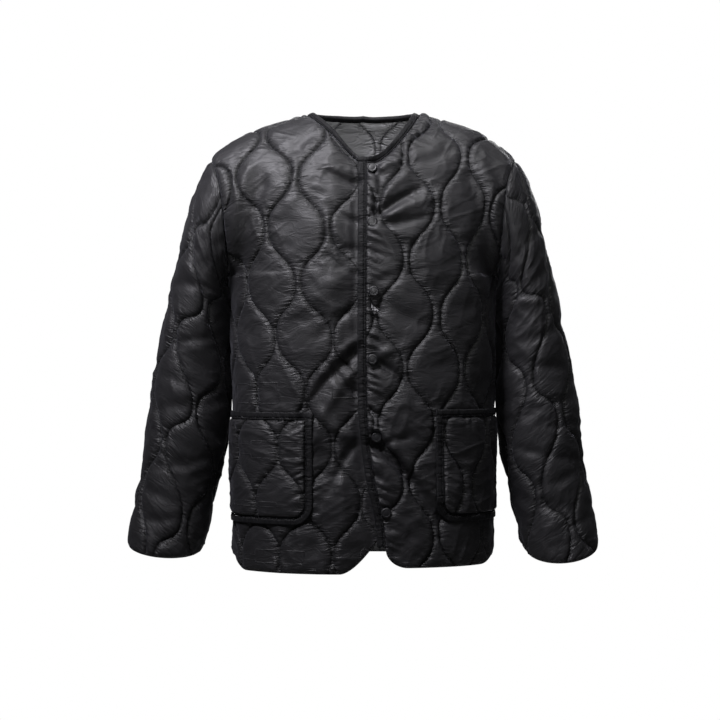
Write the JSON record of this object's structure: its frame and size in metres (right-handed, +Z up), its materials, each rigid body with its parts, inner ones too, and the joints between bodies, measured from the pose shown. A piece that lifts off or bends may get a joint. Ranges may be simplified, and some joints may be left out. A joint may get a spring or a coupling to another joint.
{
  "type": "quilted jacket",
  "caption": "Collarless quilted liner jacket, worn and hollow, with a lapped snap front, long sleeves, bound edges and patch pockets.",
  "frame": {"origin": "midway between the two points where the shoulder seams meet the neck, where the wearer's shoulders carry the jacket", "axes": "+Z up, the wearer looks along -Y, +X towards the wearer's left side"},
  "size_m": [0.712, 0.2731, 0.6894],
  "materials": {
    "shell": "black quilted nylon taffeta, soft satin sheen",
    "lining": "dark grey nylon lining, quilted with the shell",
    "binding": "black bias binding, plain weave, matt",
    "snap": "black enamelled snap caps, satin"
  },
  "bodies": {
    "root": {"back": "shell", "front_left": "shell", "front_right": "shell", "sleeve_left": "shell", "sleeve_right": "shell", "back_lining": "lining", "neck_binding": "binding", "front_edge_binding": "binding", "pocket_left": "shell", "pocket_right": "shell", "pocket_top_binding_left": "binding", "pocket_top_binding_right": "binding", "pocket_side_binding_left": "binding", "pocket_side_binding_right": "binding", "snap_cap_1": "snap", "snap_cap_2": "snap", "snap_cap_3": "snap", "snap_cap_4": "snap", "snap_cap_5": "snap", "snap_cap_6": "snap"}
  },
  "joints": []
}
